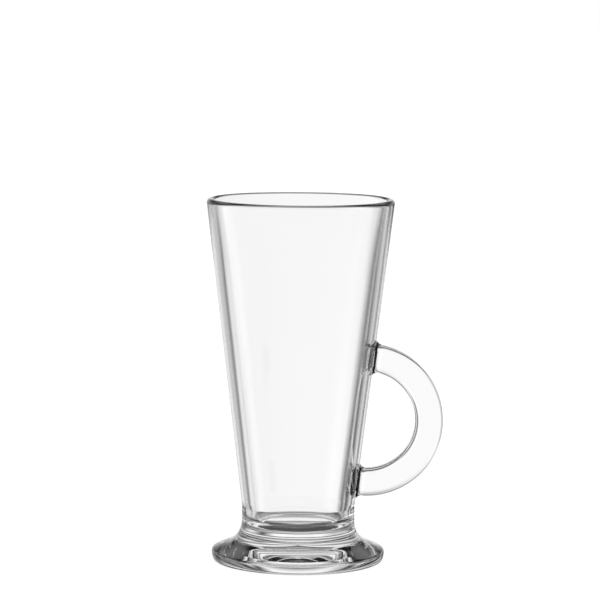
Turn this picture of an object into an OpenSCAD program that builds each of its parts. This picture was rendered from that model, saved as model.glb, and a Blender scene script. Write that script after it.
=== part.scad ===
// Irish coffee glass mug: a tapered glass bowl on a round foot, with a ring handle.
// Lengths are in millimetres. The origin is the centre of the plane that the foot
// rests on, +Z runs up the bowl's axis and +X points to the handle.

/* [Bowl] */
// Height of the whole mug, from the table to the top of the lip
mug_h = 146.3; // [130:0.1:165]
// Width across the outside of the lip
lip_w = 75.6; // [70:0.2:84]
// Thickness of the rounded lip
lip_t = 3.2; // [2.4:0.1:4]
// Thickness of the wall below the lip, measured level
wall_t = 4.1; // [3:0.1:5.5]
// Thickness of the wall just above the floor's corner
low_wall_t = 4; // [3:0.1:5.5]
// Height over which the wall thins towards the lip
lip_fade_h = 32; // [12:1:50]
// Width of the rounded corner between the inside wall and the inside floor
floor_corner_w = 5.3; // [2:0.1:7]
// Height of that corner
floor_corner_h = 5.9; // [2:0.1:8]
// Thickness of the glass between the seam and the edge of the inside floor
floor_t = 2.6; // [2:0.1:6]
// How far the inside floor sinks to its middle
floor_dip = 0.5; // [0:0.1:1.5]

/* [Foot] */
// Width across the foot
foot_w = 70; // [64:0.5:78]
// Width across the straight neck
neck_w = 45.8; // [42:0.2:50]
// Height where the straight neck meets the tapered wall
neck_top_h = 22.2; // [20:0.2:26]
// Height of the seam between the foot and the bowl
seam_h = 11; // [10.8:0.1:12.6]
// Radius of the hollow curve that runs from the neck to the foot
flare_r = 9.9; // [8:0.1:11]
// Slope of the top of the foot, in degrees
foot_slope = 22.5; // [20:0.5:26]
// Radius of the shoulder at the edge of the foot
shoulder_r = 1.3; // [0.8:0.1:2.5]
// Height of the foot's widest line
foot_edge_h = 3.2; // [2.6:0.1:4]
// How far the rounding under the edge reaches in from the widest line
under_edge_w = 1.1; // [1:0.1:3]
// Width of the ring that the foot rests on
rest_ring_w = 7.8; // [2.5:0.1:9]
// Depth of the hollow under the foot
punt_h = 2.1; // [1:0.1:6]
// Shape of that hollow: 1 is a cone, and higher values are flatter in the middle
punt_power = 1; // [1:0.1:8]

/* [Handle] */
// Height of the centre of the ring
handle_h = 57.1; // [55:0.1:62]
// Width across the outside of the ring
ring_w = 62; // [56:0.2:64]
// Thickness of the ring, from its outside to the finger gap
ring_t = 11.3; // [8:0.1:12.5]
// Thickness of the ring from side to side
side_t = 9; // [8:0.2:12]
// Radius of the ring's long edges
ring_edge_r = 1.5; // [1:0.1:2.5]
// Taper of the ring's outside and inside from its middle plane, in degrees
ring_draft = 2; // [0:0.5:4]
// Radius of the flare where the ring runs into the wall
root_r = 3.2; // [2:0.2:4]

/* [Hidden] */

$fn = 96;

// The bowl's outside: a straight neck, then a straight taper up to the lip
neck_r = neck_w / 2;
lip_edge_r = lip_t / 2;
lip_x = lip_w / 2 - lip_edge_r;
lip_h = mug_h - lip_edge_r;
lip_from_neck = [lip_x - neck_r, lip_h - neck_top_h];
taper_angle = atan(lip_from_neck.x / lip_from_neck.y) + asin(lip_edge_r / norm(lip_from_neck));
function cone_r(z) = neck_r + (z - neck_top_h) * tan(taper_angle);
function wall_r(z) = max(neck_r, cone_r(z));

// Points on an arc about [x, z] from one angle to another, with its first point or without
function arc(x, z, r, from, to, steps, first = 0) = [
    for (i = [first:steps])
        let (a = from + (to - from) * i / steps)
        [x + r * cos(a), z + r * sin(a)]
];

// The foot's outside: shoulder, sloping top and hollow flare, joined without a crease
foot_r = foot_w / 2;
shoulder_x = foot_r - shoulder_r;
slope_low = [
    shoulder_x + shoulder_r * sin(foot_slope),
    foot_edge_h + shoulder_r * cos(foot_slope)
];
slope_high_x = neck_r + flare_r * (1 - sin(foot_slope));
slope_high = [slope_high_x, slope_low.y + (slope_low.x - slope_high_x) * tan(foot_slope)];
flare_x = neck_r + flare_r;
flare_h = slope_high.y + flare_r * cos(foot_slope);

// The seam cuts the flare a little below the straight neck
seam_angle = 180 + asin((flare_h - seam_h) / flare_r);

// The bowl's inside: floor, corner, straight wall and the thinner wall at the lip
floor_h = seam_h + floor_t;
wall_foot = [cone_r(floor_h + floor_corner_h) - low_wall_t, floor_h + floor_corner_h];
fade_h = mug_h - lip_fade_h;
fade_mid_share = 0.5;
fade_mid_h = fade_h + (lip_h - fade_h) * fade_mid_share;
fade_low = [cone_r(fade_h) - wall_t, fade_h];
fade_mid = [cone_r(fade_mid_h) - wall_t, fade_mid_h];
inner_lean = atan((lip_x - lip_edge_r - fade_mid.x) / (lip_h - fade_mid_h));
fade_high = [lip_x - lip_edge_r * cos(inner_lean), lip_h + lip_edge_r * sin(inner_lean)];
function fade_point(s) = fade_low * (1 - s) * (1 - s) + fade_mid * 2 * s * (1 - s) + fade_high * s * s;
fade_steps = 8;
inner_slope = (fade_low.x - wall_foot.x) / (fade_low.y - wall_foot.y);
corner_from = atan(floor_corner_h / floor_corner_w * inner_slope);
corner_x = wall_foot.x - floor_corner_h * sin(corner_from) * inner_slope - floor_corner_w * cos(corner_from);
function corner_point(a) = [corner_x + floor_corner_w * cos(a), wall_foot.y + floor_corner_h * sin(a)];
floor_turns = 8;
function floor_point(s) = [corner_x * (1 - s), floor_h - floor_dip * (1 - (1 - s) * (1 - s))];

// The rest ring and the hollow inside it
rest_out_r = foot_r - under_edge_w;
punt_r = rest_out_r - rest_ring_w;
punt_steps = 14;
function punt_point(s) = [punt_r * s, punt_h * (1 - pow(s, punt_power))];
under_steps = 8;
function under_edge(a) = [rest_out_r + under_edge_w * sin(a), foot_edge_h * (1 - cos(a))];

// The ring's centre lies on the wall's outside, so both roots meet the wall squarely
handle_x = wall_r(handle_h);
ring_mid_r = (ring_w - ring_t) / 2;

// The flare stops short of running out along the wall, by this share of its radius
root_seat_share = 0.12;
root_seat = root_r * root_seat_share;
function flare_at(d) =
    let (left = root_r - root_seat - max(d, 0))
    left <= 0 ? 0 : root_r - sqrt(root_r * root_r - left * left);

// The ring's section: corner points with the direction that each faces
corner_steps = 4;
function section_corner(q) = [
    for (i = [0:corner_steps])
        let (
            a = 90 * (q + i / corner_steps),
            u_side = q == 0 || q == 3 ? 1 : -1,
            y_side = q < 2 ? 1 : -1,
            y = y_side * (side_t / 2 - ring_edge_r) + ring_edge_r * sin(a),
            u = u_side * (ring_t / 2 - ring_edge_r) + ring_edge_r * cos(a)
        )
        [u - u_side * abs(y) * tan(ring_draft), y, a]
];
function section() = concat(
    section_corner(0), section_corner(1), [[-ring_t / 2, 0, 180]],
    section_corner(2), section_corner(3), [[ring_t / 2, 0, 360]]
);

// A point of the ring at an angle about its centre, u outwards from its middle radius
function ring_point(angle, u, y) = [
    handle_x + (ring_mid_r + u) * cos(angle),
    y,
    handle_h + (ring_mid_r + u) * sin(angle)
];
function wall_gap(p) = (norm([p.x, p.y]) - wall_r(p.z)) * cos(taper_angle);
function flared_point(angle, s) =
    let (grow = flare_at(wall_gap(ring_point(angle, s[0], s[1]))))
    ring_point(angle, s[0] + grow * cos(s[2]), s[1] + grow * sin(s[2]));

// Angles along the ring, close together at the roots and wider between them
root_in_share = 0.5;
root_span_share = 1.5;
in_angle = wall_t * root_in_share / ring_mid_r * 180 / PI;
root_angle = root_r * root_span_share / ring_mid_r * 180 / PI;
root_steps = 12;
span_steps = 30;
low_wall = -90 - taper_angle;
high_wall = 90 - taper_angle;
function spread(from, to, steps) = [for (i = [0:steps - 1]) from + (to - from) * i / steps];
ring_angles = concat(
    [low_wall - in_angle],
    spread(low_wall, low_wall + root_angle, root_steps),
    spread(low_wall + root_angle, high_wall - root_angle, span_steps),
    spread(high_wall - root_angle, high_wall, root_steps),
    [high_wall, high_wall + in_angle]
);

glass = [0.86, 0.93, 0.95, 0.45];

// The space inside the bowl's outside wall, which the handle's roots stop at
module wall_envelope() {
    rotate_extrude()
        polygon([[0, seam_h], [neck_r, seam_h], [neck_r, neck_top_h], [cone_r(lip_h), lip_h], [0, lip_h]]);
}

// Tapered bowl: neck, thick wall, rounded lip, and a floor with a rounded corner
module bowl() {
    color(glass)
        rotate_extrude()
            polygon(concat(
                [[0, seam_h]],
                arc(flare_x, flare_h, flare_r, seam_angle, 180, 4),
                [[neck_r, neck_top_h]],
                arc(lip_x, lip_h, lip_edge_r, -taper_angle, 0, 2),
                arc(lip_x, lip_h, lip_edge_r, 0, 90, 8, 1),
                arc(lip_x, lip_h, lip_edge_r, 90, 180 - inner_lean, 8, 1),
                [for (i = [fade_steps - 1:-1:0]) fade_point(i / fade_steps)],
                [for (i = [0:floor_turns]) corner_point(-corner_from - (90 - corner_from) * i / floor_turns)],
                [for (i = [1:floor_turns]) floor_point(i / floor_turns)]
            ));
}

// Foot: hollow flare, sloping top, rounded edge, rest ring and shallow punt
module foot() {
    color(glass)
        rotate_extrude()
            polygon(concat(
                [for (i = [0:punt_steps]) punt_point(i / punt_steps)],
                [for (i = [0:under_steps - 1]) under_edge(90 * i / under_steps)],
                arc(shoulder_x, foot_edge_h, shoulder_r, 0, 90 - foot_slope, 6),
                arc(flare_x, flare_h, flare_r, 270 - foot_slope, seam_angle, 12),
                [[0, seam_h]]
            ));
}

// Ring handle: a flattened ring whose ends flare and stop at the bowl's wall
module handle() {
    outline = section();
    n = len(outline);
    rings = len(ring_angles);
    color(glass)
        difference() {
            polyhedron(
                points = [for (angle = ring_angles, s = outline) flared_point(angle, s)],
                faces = concat(
                    [[for (i = [0:n - 1]) i]],
                    [for (k = [0:rings - 2], i = [0:n - 1])
                        let (j = (i + 1) % n) [k * n + i, (k + 1) * n + i, (k + 1) * n + j]],
                    [for (k = [0:rings - 2], i = [0:n - 1])
                        let (j = (i + 1) % n) [k * n + i, (k + 1) * n + j, k * n + j]],
                    [[for (i = [n - 1:-1:0]) (rings - 1) * n + i]]
                )
            );
            wall_envelope();
        }
}

bowl();
foot();
handle();
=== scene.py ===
from math import asin, atan, atan2, ceil, cos, degrees, hypot, pi, radians, sin, sqrt, tan

import bmesh
import bpy
from mathutils import Matrix, Vector


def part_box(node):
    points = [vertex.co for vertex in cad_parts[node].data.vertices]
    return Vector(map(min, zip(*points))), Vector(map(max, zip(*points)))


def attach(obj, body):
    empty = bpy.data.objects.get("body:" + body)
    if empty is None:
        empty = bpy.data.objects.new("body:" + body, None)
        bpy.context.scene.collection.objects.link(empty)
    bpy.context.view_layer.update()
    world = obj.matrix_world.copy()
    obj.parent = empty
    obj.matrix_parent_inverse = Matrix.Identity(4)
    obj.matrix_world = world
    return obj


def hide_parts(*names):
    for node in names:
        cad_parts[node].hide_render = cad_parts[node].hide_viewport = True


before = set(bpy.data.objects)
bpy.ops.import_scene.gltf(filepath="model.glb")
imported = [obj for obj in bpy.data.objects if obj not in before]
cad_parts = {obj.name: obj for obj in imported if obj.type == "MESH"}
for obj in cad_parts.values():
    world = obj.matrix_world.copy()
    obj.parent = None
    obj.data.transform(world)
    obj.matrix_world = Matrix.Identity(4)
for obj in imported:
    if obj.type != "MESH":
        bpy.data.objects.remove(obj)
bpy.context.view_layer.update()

# Lengths are in metres and named angles in degrees. Z runs up the bowl's axis, X points to the handle.
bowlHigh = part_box("bowl")[1]
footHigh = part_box("foot")[1]
mugHeight = bowlHigh.z
seamHeight = footHigh.z
lipRadius = bowlHigh.y
footRadius = footHigh.y
print("frame loaded, mug", round(mugHeight * 1000, 1), "mm tall")


def arcPoints(x, z, radius, start, end, steps):
    turns = [radians(start + (end - start) * i / steps) for i in range(steps + 1)]
    return [(x + radius * cos(a), z + radius * sin(a)) for a in turns]


# Points of an arc that rounds one corner of a profile
def roundCorner(before, corner, after, radius, steps):
    a, b, c = Vector(before), Vector(corner), Vector(after)
    back, onward = (a - b).normalized(), (c - b).normalized()
    half = back.angle(onward) / 2
    run = radius / tan(half)
    centre = b + (back + onward).normalized() * (radius / sin(half))
    u = b + back * run - centre
    v = b + onward * run - centre
    turn = atan2(u.x * v.y - u.y * v.x, u.dot(v))
    return [tuple(centre + Matrix.Rotation(turn * i / steps, 2) @ u) for i in range(steps + 1)]


# How finely bowl and foot are made
turnDetail = {
    "steps": 256,              # round the axis
    "longestRun": 0.012,
    "support": 0.0004,         # distance from a corner to the point that holds the shading
    "weld": 1e-7,
}


# Splits long runs of a profile, with a point close to each end to hold the shading
def addSupports(points, longest, support):
    held = [points[0]]
    for p, q in zip(points, points[1:]):
        run = hypot(q[0] - p[0], q[1] - p[1])
        if run > 4 * support:
            parts = ceil((run - 2 * support) / longest)
            marks = [support / run + (1 - 2 * support / run) * i / parts for i in range(parts + 1)]
            held += [(p[0] + (q[0] - p[0]) * t, p[1] + (q[1] - p[1]) * t) for t in marks]
        held.append(q)
    return held


def meshObject(name, bm):
    mesh = bpy.data.meshes.new(name)
    bm.to_mesh(mesh)
    bm.free()
    piece = bpy.data.objects.new(name, mesh)
    bpy.context.scene.collection.objects.link(piece)
    return piece


# Spins a profile of (radius, height) points round the mug's axis
def turnProfile(name, points):
    points = addSupports(points, turnDetail["longestRun"], turnDetail["support"])
    bm = bmesh.new()
    verts = [bm.verts.new((r, 0, z)) for r, z in points]
    edges = [bm.edges.new(pair) for pair in zip(verts, verts[1:])]
    bmesh.ops.spin(bm, geom=verts + edges, axis=(0, 0, 1), cent=(0, 0, 0), angle=2 * pi,
                   steps=turnDetail["steps"], use_merge=True)
    bmesh.ops.remove_doubles(bm, verts=bm.verts, dist=turnDetail["weld"])
    bmesh.ops.recalc_face_normals(bm, faces=bm.faces)
    return meshObject(name, bm)


# Camera at the photograph's viewing angle
viewPoint = {
    "distance": 1.150,         # in front of the mug's axis
    "height": 0.23495,
    "pitch": 6.4256,           # downwards
    "roll": 0.5,
    "lens": 172.71,            # millimetres, as is the sensor's width
    "sensor": 36,
    "clip": (0.05, 50),
}


def addCamera():
    camera = bpy.data.objects.new("camera", bpy.data.cameras.new("camera"))
    camera.data.sensor_width = viewPoint["sensor"]
    camera.data.lens = viewPoint["lens"]
    camera.data.clip_start, camera.data.clip_end = viewPoint["clip"]
    camera.matrix_world = (
        Matrix.Translation((0, -viewPoint["distance"], viewPoint["height"]))
        @ Matrix.Rotation(radians(90 - viewPoint["pitch"]), 4, "X")
        @ Matrix.Rotation(radians(viewPoint["roll"]), 4, "Z")
    )
    bpy.context.scene.collection.objects.link(camera)
    bpy.context.scene.camera = camera


addCamera()
print("camera set")


# Clear pressed glass
glassLook = {
    "tint": (0.992, 0.992, 0.991, 1),
    "ior": 1.52,
    "roughness": 0.0,
    "waveScale": (45, 45, 14),     # faint unevenness of pressed glass, waves per metre
    "waveDetail": 2,
    "waveHeight": 0.00003,
    "stippleScale": 1100,          # grain of the ring that the foot rests on
    "stippleHeight": 0.00005,
    "stippleTop": 0.00025,         # height up to which there is grain
    "stippleFrom": 0.0305,         # radius from which there is grain
}


def shaderMaterial(name):
    material = bpy.data.materials.new(name)
    material.use_nodes = True
    nodes = material.node_tree.nodes
    nodes.clear()
    return material, nodes, material.node_tree.links


def mathNode(nodes, links, operation, *inputs):
    node = nodes.new("ShaderNodeMath")
    node.operation = operation
    for socket, value in zip(node.inputs, inputs):
        if isinstance(value, (int, float)):
            socket.default_value = value
        else:
            links.new(value, socket)
    return node.outputs["Value"]


def finishSurface(nodes, links, shader, kind="ShaderNodeOutputMaterial"):
    out = nodes.new(kind)
    links.new(shader, out.inputs["Surface"])


# Height of the surface's relief: slow waves all over, and a fine grain on the ring that the foot rests on
def glassRelief(nodes, links):
    place = nodes.new("ShaderNodeTexCoord")
    stretch = nodes.new("ShaderNodeMapping")
    stretch.inputs["Scale"].default_value = glassLook["waveScale"]
    links.new(place.outputs["Object"], stretch.inputs["Vector"])
    wave = nodes.new("ShaderNodeTexNoise")
    wave.inputs["Scale"].default_value = 1
    wave.inputs["Detail"].default_value = glassLook["waveDetail"]
    links.new(stretch.outputs["Vector"], wave.inputs["Vector"])
    grain = nodes.new("ShaderNodeTexVoronoi")
    grain.inputs["Scale"].default_value = glassLook["stippleScale"]
    links.new(place.outputs["Object"], grain.inputs["Vector"])
    parts = nodes.new("ShaderNodeSeparateXYZ")
    links.new(place.outputs["Object"], parts.inputs["Vector"])
    low = mathNode(nodes, links, "LESS_THAN", parts.outputs["Z"], glassLook["stippleTop"])
    away = nodes.new("ShaderNodeVectorMath")
    away.operation = "LENGTH"
    links.new(place.outputs["Object"], away.inputs[0])
    outer = mathNode(nodes, links, "GREATER_THAN", away.outputs["Value"], glassLook["stippleFrom"])
    onRing = mathNode(nodes, links, "MULTIPLY", low, outer)
    waves = mathNode(nodes, links, "MULTIPLY", wave.outputs["Fac"], glassLook["waveHeight"])
    grains = mathNode(nodes, links, "MULTIPLY", grain.outputs["Distance"], glassLook["stippleHeight"])
    return mathNode(nodes, links, "MULTIPLY_ADD", onRing, grains, waves)


def clearGlass():
    material, nodes, links = shaderMaterial("clearGlass")
    shader = nodes.new("ShaderNodeBsdfPrincipled")
    shader.inputs["Base Color"].default_value = glassLook["tint"]
    shader.inputs["Roughness"].default_value = glassLook["roughness"]
    shader.inputs["IOR"].default_value = glassLook["ior"]
    shader.inputs["Transmission Weight"].default_value = 1.0
    relief = nodes.new("ShaderNodeBump")
    relief.inputs["Distance"].default_value = 1.0
    links.new(glassRelief(nodes, links), relief.inputs["Height"])
    links.new(relief.outputs["Normal"], shader.inputs["Normal"])
    finishSurface(nodes, links, shader.outputs["BSDF"])
    return material


# Inside the glass, where two pieces are fused, there is nothing to see
def fusedSeam():
    material, nodes, links = shaderMaterial("fusedSeam")
    shader = nodes.new("ShaderNodeBsdfPrincipled")
    shader.inputs["Alpha"].default_value = 0.0
    finishSurface(nodes, links, shader.outputs["BSDF"])
    return material


glass = clearGlass()
seam = fusedSeam()
rootMark = bpy.data.materials.new("rootMark")     # tells the handle's faces apart while cutting
print("glass ready")


# The outside outline that bowl and foot share
outline = {
    "lipThick": 0.0032,
    "neckRadius": 0.0229,
    "neckTop": 0.0222,         # height where the neck meets the tapered wall
    "flareRadius": 0.0099,     # hollow curve from neck to foot
    "footSlope": 22.5,
    "shoulderRadius": 0.0013,
    "edgeHeight": 0.0032,      # height of the foot's widest line
}
lipEdge = outline["lipThick"] / 2
lipX = lipRadius - lipEdge
lipHeight = mugHeight - lipEdge
neckRadius, neckTop = outline["neckRadius"], outline["neckTop"]
lipRun, lipRise = lipX - neckRadius, lipHeight - neckTop
taper = atan(lipRun / lipRise) + asin(lipEdge / hypot(lipRun, lipRise))


def coneRadius(z):
    return neckRadius + (z - neckTop) * tan(taper)


slope = radians(outline["footSlope"])
flareR, shoulderR = outline["flareRadius"], outline["shoulderRadius"]
shoulderX = footRadius - shoulderR
slopeLow = (shoulderX + shoulderR * sin(slope), outline["edgeHeight"] + shoulderR * cos(slope))
slopeHighX = neckRadius + flareR * (1 - sin(slope))
flareX = neckRadius + flareR
flareHeight = slopeLow[1] + (slopeLow[0] - slopeHighX) * tan(slope) + flareR * cos(slope)
seamAngle = 180 + degrees(asin((flareHeight - seamHeight) / flareR))


# Bowl: neck, tapered wall, rounded lip, and an inside floor with a rounded corner
bowlShape = {
    "wallThick": 0.0041,       # level thickness below the lip
    "lowWallThick": 0.0040,    # just above the floor's corner
    "lipFade": 0.032,          # height over which the wall thins to the lip
    "cornerWide": 0.0053,
    "cornerTall": 0.0059,
    "floorThick": 0.0026,      # from the seam to the edge of the inside floor
    "floorDip": 0.0005,        # how far the floor sinks to its middle
    "neckBlend": 0.004,        # soft crease where the neck meets the wall
    "flareSteps": 10,
    "neckSteps": 6,
    "lipSteps": 32,
    "fadeSteps": 16,
    "cornerSteps": 20,
    "floorSteps": 16,
}


def bowlProfile():
    wall = bowlShape["wallThick"]
    floorHeight = seamHeight + bowlShape["floorThick"]
    wide, tall = bowlShape["cornerWide"], bowlShape["cornerTall"]
    fadeStart = mugHeight - bowlShape["lipFade"]
    wallFoot = (coneRadius(floorHeight + tall) - bowlShape["lowWallThick"], floorHeight + tall)
    inLean = (coneRadius(fadeStart) - wall - wallFoot[0]) / (fadeStart - wallFoot[1])
    start = atan(tall / wide * inLean)
    cornerX = wallFoot[0] - tall * sin(start) * inLean - wide * cos(start)
    steps = bowlShape["cornerSteps"]
    turns = [-start - (pi / 2 - start) * i / steps for i in range(steps + 1)]
    corner = [(cornerX + wide * cos(a), wallFoot[1] + tall * sin(a)) for a in turns]
    dip, steps = bowlShape["floorDip"], bowlShape["floorSteps"]
    shares = [1 - i / steps for i in range(1, steps + 1)]
    inFloor = [(cornerX * s, floorHeight - dip * (1 - s ** 2)) for s in shares]
    fadeMiddle = (fadeStart + lipHeight) / 2
    low = Vector((coneRadius(fadeStart) - wall, fadeStart))
    middle = Vector((coneRadius(fadeMiddle) - wall, fadeMiddle))
    lean = atan((lipX - lipEdge - middle.x) / (lipHeight - fadeMiddle))
    high = Vector((lipX - lipEdge * cos(lean), lipHeight + lipEdge * sin(lean)))
    steps = bowlShape["fadeSteps"]
    shares = [1 - i / steps for i in range(1, steps + 1)]
    fade = [tuple(low * (1 - s) ** 2 + middle * 2 * s * (1 - s) + high * s * s) for s in shares]
    neckFoot = (neckRadius, flareHeight)
    wallTop = (coneRadius(lipHeight), lipHeight)
    profile = [(0, seamHeight)]
    profile += arcPoints(flareX, flareHeight, flareR, seamAngle, 180, bowlShape["flareSteps"])
    profile += roundCorner(neckFoot, (neckRadius, neckTop), wallTop,
                           bowlShape["neckBlend"], bowlShape["neckSteps"])
    profile += arcPoints(lipX, lipHeight, lipEdge, -degrees(taper), 180 - degrees(lean),
                         bowlShape["lipSteps"])
    return profile + fade + corner + inFloor


# Which faces count as lying in the seam
seamLimits = {
    "height": 1e-6,
    "upright": 0.99,           # least upright part of the face's normal
}


# The flat disc at the seam's height is fused glass
def markSeamDisc(piece):
    piece.data.materials.append(glass)
    piece.data.materials.append(seam)
    for face in piece.data.polygons:
        level = abs(face.center.z - seamHeight) < seamLimits["height"]
        if level and abs(face.normal.z) > seamLimits["upright"]:
            face.material_index = 1


bowl = turnProfile("glassBowl", bowlProfile())
markSeamDisc(bowl)
print("bowl turned,", len(bowl.data.polygons), "faces")


# Foot: shallow punt, rest ring, rounded edge, sloping top and hollow flare
footShape = {
    "underEdge": 0.0011,       # how far the rounding under the edge reaches in
    "restRing": 0.0078,
    "puntDepth": 0.0021,
    "puntPower": 1.0,          # 1 is a cone, higher is flatter in the middle
    "puntBlend": 0.0012,       # softening where the punt meets the rest ring
    "puntSteps": 28,
    "puntBlendSteps": 6,
    "underSteps": 16,
    "shoulderSteps": 12,
    "flareSteps": 32,
}


def footProfile():
    under, edge = footShape["underEdge"], outline["edgeHeight"]
    restOut = footRadius - under
    puntR = restOut - footShape["restRing"]
    steps, power = footShape["puntSteps"], footShape["puntPower"]
    punt = [(puntR * i / steps, footShape["puntDepth"] * (1 - (i / steps) ** power)) for i in range(steps)]
    steps = footShape["underSteps"]
    underTurns = [radians(90 * i / steps) for i in range(steps)]
    profile = punt[:-1]
    profile += roundCorner(punt[-2], (puntR, 0), (restOut, 0),
                           footShape["puntBlend"], footShape["puntBlendSteps"])
    profile += [(restOut + under * sin(a), edge * (1 - cos(a))) for a in underTurns]
    profile += arcPoints(shoulderX, edge, shoulderR, 0, 90 - outline["footSlope"],
                         footShape["shoulderSteps"])
    profile += arcPoints(flareX, flareHeight, flareR, 270 - outline["footSlope"], seamAngle,
                         footShape["flareSteps"])
    return profile + [(0, seamHeight)]


foot = turnProfile("glassFoot", footProfile())
markSeamDisc(foot)
print("foot turned,", len(foot.data.polygons), "faces")


# Handle: a flattened ring whose two ends flare and are fused to the wall
handleShape = {
    "height": 0.0571,          # of the ring's centre
    "ringWidth": 0.06197,      # a hair narrower than the CAD ring, to stay in its box
    "ringThick": 0.0113,
    "sideThick": 0.009,
    "edgeRadius": 0.0019,
    "draft": 2.0,              # from the middle plane
    "rootRadius": 0.0032,
    "rootSeat": 0.12,          # share of the flare that is left off at the wall
    "rootOval": 0.0034,        # distance from the wall over which the ends turn oval
    "ringSteps": 300,
    "edgeSteps": 8,
    "longestRun": 0.01,
    "support": 0.00025,
    "weld": 2e-7,
}
ringX, ringZ = coneRadius(handleShape["height"]), handleShape["height"]
ringMid = (handleShape["ringWidth"] - handleShape["ringThick"]) / 2
edgeR = handleShape["edgeRadius"]
halfU, halfY = handleShape["ringThick"] / 2 - edgeR, handleShape["sideThick"] / 2 - edgeR
draftLean = tan(radians(handleShape["draft"]))


# How far the draft draws a point of the ring's section towards its middle
def draftShift(u, y):
    return (1 if u > 0 else -1) * abs(y) * draftLean


# The ring's section as (outwards, sideways) points, widest at its middle plane
def ringSection():
    quarters = ((0, halfU, halfY), (90, -halfU, halfY), (180, -halfU, -halfY), (270, halfU, -halfY))
    corners = []
    for start, u, y in quarters:
        corners += arcPoints(u, y, edgeR, start, start + 90, handleShape["edgeSteps"])
        if start == 90:
            corners.append((-halfU - edgeR, 0))
    corners += [(halfU + edgeR, 0), corners[0]]
    held = addSupports(corners, handleShape["longestRun"], handleShape["support"])[:-1]
    return [(u - draftShift(u, y), y) for u, y in held]


# Which way the ring's section faces at a point on it
def sectionNormal(u, y):
    u += draftShift(u, y)
    return Vector((u - max(-halfU, min(halfU, u)), y - max(-halfY, min(halfY, y)))).normalized()


def wallGap(x, y, z):
    return (hypot(x, y) - max(neckRadius, coneRadius(z))) * cos(taper)


# How much the ring has widened at a distance from the wall
def ringFlare(gap):
    root = handleShape["rootRadius"]
    left = root * (1 - handleShape["rootSeat"]) - max(gap, 0)
    return 0 if left <= 0 else root - sqrt(root * root - left * left)


# A point of the ring's section, flared and turned towards an oval near the wall
def rootSection(u, y, gap):
    grow = ringFlare(gap)
    facing = sectionNormal(u, y)
    u, y = u + facing.x * grow, y + facing.y * grow
    wide, deep = handleShape["ringThick"] / 2 + grow, handleShape["sideThick"] / 2 + grow
    turn = atan2(y / deep, u / wide)
    near = min(max(1 - gap / handleShape["rootOval"], 0), 1)
    share = near * near * (3 - 2 * near)
    return u + (wide * cos(turn) - u) * share, y + (deep * sin(turn) - y) * share


# The ring, spun from its section, with both ends sunk in the wall and flared at it
def ringSolid():
    sunk = bowlShape["wallThick"] / 2 / ringMid
    start, end = -pi / 2 - taper - sunk, pi / 2 - taper + sunk
    bm = bmesh.new()
    verts = [bm.verts.new((ringX + ringMid + u, y, ringZ)) for u, y in ringSection()]
    edges = [bm.edges.new(pair) for pair in zip(verts, verts[1:] + verts[:1])]
    centre = (ringX, 0, ringZ)
    bmesh.ops.rotate(bm, verts=verts, cent=centre, matrix=Matrix.Rotation(-start, 3, "Y"))
    bmesh.ops.spin(bm, geom=verts + edges, axis=(0, -1, 0), cent=centre, angle=end - start,
                   steps=handleShape["ringSteps"])
    for vert in bm.verts:
        along = Vector((vert.co.x - ringX, 0, vert.co.z - ringZ))
        u, y = rootSection(along.length - ringMid, vert.co.y, wallGap(*vert.co))
        vert.co = Vector(centre) + along.normalized() * (ringMid + u) + Vector((0, y, 0))
    bmesh.ops.holes_fill(bm, edges=[e for e in bm.edges if e.is_boundary])
    bmesh.ops.recalc_face_normals(bm, faces=bm.faces)
    return meshObject("glassHandle", bm)


# The mesh that a boolean of two closed pieces gives
def cutMesh(target, tool, operation):
    cut = target.modifiers.new("cut", "BOOLEAN")
    cut.operation, cut.solver, cut.object = operation, "EXACT", tool
    cut.material_mode = "TRANSFER"
    finished = target.evaluated_get(bpy.context.evaluated_depsgraph_get())
    mesh = bpy.data.meshes.new_from_object(finished)
    target.modifiers.remove(cut)
    return mesh


# Cuts the ring at the bowl's wall, and gives the bowl the same two root outlines
def fuseHandle(ring, bowl):
    ring.data.materials.append(rootMark)
    cutRing = cutMesh(ring, bowl, "DIFFERENCE")
    joined = cutMesh(bowl, ring, "UNION")
    slots = [m.name for m in cutRing.materials]
    bm = bmesh.new()
    bm.from_mesh(cutRing)
    for face in bm.faces:
        face.material_index = 0 if slots[face.material_index] == rootMark.name else 1
    bm.to_mesh(ring.data)
    bmesh.ops.delete(bm, geom=[f for f in bm.faces if f.material_index == 0], context="FACES")
    bmesh.ops.reverse_faces(bm, faces=bm.faces)
    roots = bpy.data.meshes.new("roots")
    bm.to_mesh(roots)
    bm.free()
    slots = [m.name for m in joined.materials]
    bm = bmesh.new()
    bm.from_mesh(joined)
    outside = [f for f in bm.faces if slots[f.material_index] == rootMark.name]
    for face in bm.faces:
        face.material_index = 1 if slots[face.material_index] == seam.name else 0
    bmesh.ops.delete(bm, geom=outside, context="FACES")
    bm.from_mesh(roots)
    bmesh.ops.remove_doubles(bm, verts=bm.verts, dist=handleShape["weld"])
    bm.to_mesh(bowl.data)
    bm.free()
    for used in (cutRing, joined, roots):
        bpy.data.meshes.remove(used)


handle = ringSolid()
fuseHandle(handle, bowl)
handle.data.materials[0] = glass
handle.data.materials.append(seam)
print("handle fused,", len(handle.data.polygons), "faces")

creaseAngle = 35
for piece, node in ((bowl, "bowl"), (foot, "foot"), (handle, "handle")):
    piece.data.shade_smooth()
    piece.data.set_sharp_from_angle(angle=radians(creaseAngle))
    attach(piece, "root")
    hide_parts(node)
print("pieces placed")


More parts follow.
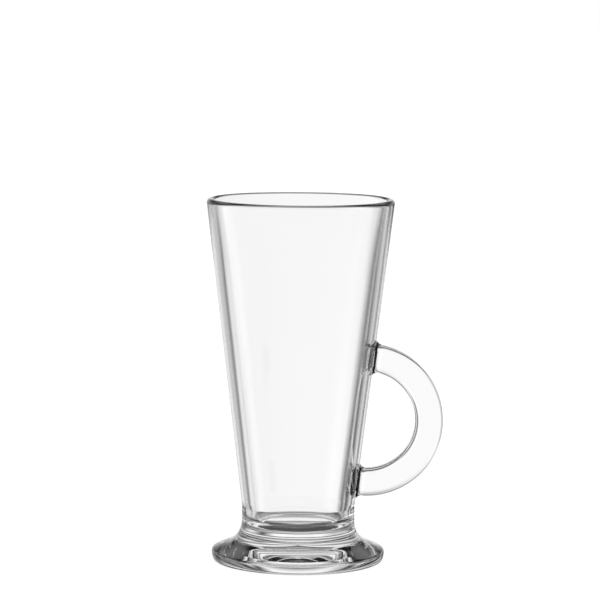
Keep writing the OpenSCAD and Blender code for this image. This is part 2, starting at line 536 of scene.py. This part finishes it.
# Studio: what the glass mirrors and bends, as soft-edged panels. Azimuth 0 is straight behind the mug
# and 90 is on the handle's side. Each panel has its first and last angle and its brightness, and the
# brightness runs evenly from one panel to the next.
studioLook = {
    "peak": 1.3,               # brightness of a panel of 1
    "round": {                 # by azimuth, from the horizon down to the sweep's near edge
        "roomLeft": (-180, -120, 0.62),
        "softLight": (-80, -57, 0.97),
        "flagLeft": (-46, -43, 0.1),
        "wallLeft": (-34, -22, 0.47),
        "sweepLeft": (-12.5, -10, 0.8),
        "sweepMiddle": (-9, 5.5, 0.755),
        "sweepRight": (6, 13, 0.8),
        "flagNear": (21.5, 23, 0.05),
        "card": (32, 34, 0.6),
        "flagFar": (47, 85, 0.1),
        "roomRight": (115, 180, 0.62),
    },
    "upright": {               # by elevation
        "floorNear": (-90, -55, 0.5),
        "floorEdge": (-42, -36, 0.08),
        "sweep": (-28, 6, 0.68),
        "bar": (17, 19, 0.13),
        "topCard": (30, 38, 0.78),
        "topFlag": (45, 52, 0.12),
        "ceiling": (62, 72, 0.55),
        "overhead": (88, 90, 0.3),
    },
    "shares": {                # by azimuth, how much of the upright levels is seen
        "behindLeft": (-180, -170, 0.9),
        "front": (-60, 40, 1.0),
        "handleSide": (60, 100, 0.45),
        "behindRight": (170, 180, 0.9),
    },
    "lowFade": (-31, -24),     # elevations between which one set of levels gives way to the other
    "highFade": (-2, 6),
}
floorLook = {
    "gap": 0.0001,             # under the rest ring
    "size": 6,                 # from its middle to its edge
    "colour": (0.35, 0.35, 0.35, 1),
    "glow": 0.8,
    "paintedShadowUnderFoot": 0.04,         # painted shadow: the brightness the glass shows right under the foot
    "darkTo": 0.020,           # radius of that painted shadow, and where it ends
    "brightFrom": 0.036,
}


def softStep(nodes, links, value, low, high):
    step = nodes.new("ShaderNodeMapRange")
    step.interpolation_type = "SMOOTHSTEP"
    links.new(value, step.inputs["Value"])
    step.inputs["From Min"].default_value, step.inputs["From Max"].default_value = low, high
    return step.outputs["Result"]


# The panels' levels along an angle; the panels reach from -limit to limit
def levelRamp(nodes, links, angle, limit, panels):
    share = nodes.new("ShaderNodeMapRange")
    links.new(angle, share.inputs["Value"])
    share.inputs["From Min"].default_value, share.inputs["From Max"].default_value = -limit, limit
    ramp = nodes.new("ShaderNodeValToRGB")
    links.new(share.outputs["Result"], ramp.inputs["Fac"])
    stops = [(edge, level) for first, last, level in panels.values() for edge in (first, last)]
    points = ramp.color_ramp.elements
    for degree, _ in stops[1:-1]:
        points.new(0.5 + radians(degree) / limit / 2)
    for point, (_, level) in zip(points, stops):
        point.color = (level, level, level, 1)
    return ramp.outputs["Color"]


def mixLevels(nodes, links, share, first, second):
    mix = nodes.new("ShaderNodeMix")
    for name, value in (("Factor", share), ("A", first), ("B", second)):
        links.new(value, mix.inputs[name])
    return mix.outputs["Result"]


def mixShaders(nodes, links, share, first, second):
    mix = nodes.new("ShaderNodeMixShader")
    for socket, value in zip(mix.inputs, (share, first, second)):
        links.new(value, socket)
    return mix.outputs["Shader"]


# 1 for a ray that the glass mirrored or bent, and 0 for one straight from the camera
def glassRay(nodes, links):
    path = nodes.new("ShaderNodeLightPath")
    glossy, bent = path.outputs["Is Glossy Ray"], path.outputs["Is Transmission Ray"]
    return mathNode(nodes, links, "MAXIMUM", glossy, bent)


# Brightness of the studio in the direction of a ray
def studioLevel(nodes, links):
    direction = nodes.new("ShaderNodeTexCoord")
    parts = nodes.new("ShaderNodeSeparateXYZ")
    links.new(direction.outputs["Generated"], parts.inputs["Vector"])
    azimuth = mathNode(nodes, links, "ARCTAN2", parts.outputs["X"], parts.outputs["Y"])
    elevation = mathNode(nodes, links, "ARCSINE", parts.outputs["Z"])
    level = levelRamp(nodes, links, azimuth, pi, studioLook["round"])
    shares = levelRamp(nodes, links, azimuth, pi, studioLook["shares"])
    upright = levelRamp(nodes, links, elevation, pi / 2, studioLook["upright"])
    lowFrom, lowTo = (radians(a) for a in studioLook["lowFade"])
    highFrom, highTo = (radians(a) for a in studioLook["highFade"])
    above = softStep(nodes, links, elevation, lowFrom, lowTo)
    below = softStep(nodes, links, elevation, highTo, highFrom)
    band = mathNode(nodes, links, "MULTIPLY", above, below)
    outside = mathNode(nodes, links, "MULTIPLY", shares, upright)
    return mixLevels(nodes, links, band, outside, level)


# White for the camera, and the studio's panels for what the glass shows
def studioWorld():
    world = bpy.data.worlds.new("studio")
    bpy.context.scene.world = world
    world.use_nodes = True
    nodes, links = world.node_tree.nodes, world.node_tree.links
    nodes.clear()
    seen = nodes.new("ShaderNodeBackground")
    links.new(studioLevel(nodes, links), seen.inputs["Color"])
    seen.inputs["Strength"].default_value = studioLook["peak"]
    plain = nodes.new("ShaderNodeBackground")
    plain.inputs["Color"].default_value = (1, 1, 1, 1)
    both = mixShaders(nodes, links, glassRay(nodes, links), plain.outputs["Background"],
                      seen.outputs["Background"])
    finishSurface(nodes, links, both, "ShaderNodeOutputWorld")


def emission(nodes, strength):
    light = nodes.new("ShaderNodeEmission")
    light.inputs["Strength"].default_value = strength
    return light.outputs["Emission"]


# Pale floor: white with the mug's faint shadow. For what the glass shows it has a painted shadow right
# under the foot and is open to the studio beyond it
def studioFloor():
    bm = bmesh.new()
    bmesh.ops.create_grid(bm, x_segments=1, y_segments=1, size=floorLook["size"],
                          matrix=Matrix.Translation((0, 0, -floorLook["gap"])))
    floor = meshObject("floor", bm)
    material, nodes, links = shaderMaterial("floorWhite")
    matt = nodes.new("ShaderNodeBsdfDiffuse")
    matt.inputs["Color"].default_value = floorLook["colour"]
    pale = nodes.new("ShaderNodeAddShader")
    links.new(emission(nodes, floorLook["glow"]), pale.inputs[0])
    links.new(matt.outputs["BSDF"], pale.inputs[1])
    # painted shadow under the foot, seen only through the glass: a dark patch that fades out between two
    # radii
    place = nodes.new("ShaderNodeTexCoord")
    distance = nodes.new("ShaderNodeVectorMath")
    distance.operation = "LENGTH"
    links.new(place.outputs["Object"], distance.inputs[0])
    away = softStep(nodes, links, distance.outputs["Value"], floorLook["darkTo"], floorLook["brightFrom"])
    paintedShade = emission(nodes, floorLook["paintedShadowUnderFoot"])
    clear = nodes.new("ShaderNodeBsdfTransparent")
    under = mixShaders(nodes, links, away, paintedShade, clear.outputs["BSDF"])
    both = mixShaders(nodes, links, glassRay(nodes, links), pale.outputs["Shader"], under)
    finishSurface(nodes, links, both)
    floor.data.materials.append(material)


studioFloor()
studioWorld()
bpy.context.scene.view_settings.view_transform = "Standard"
print("studio lit")
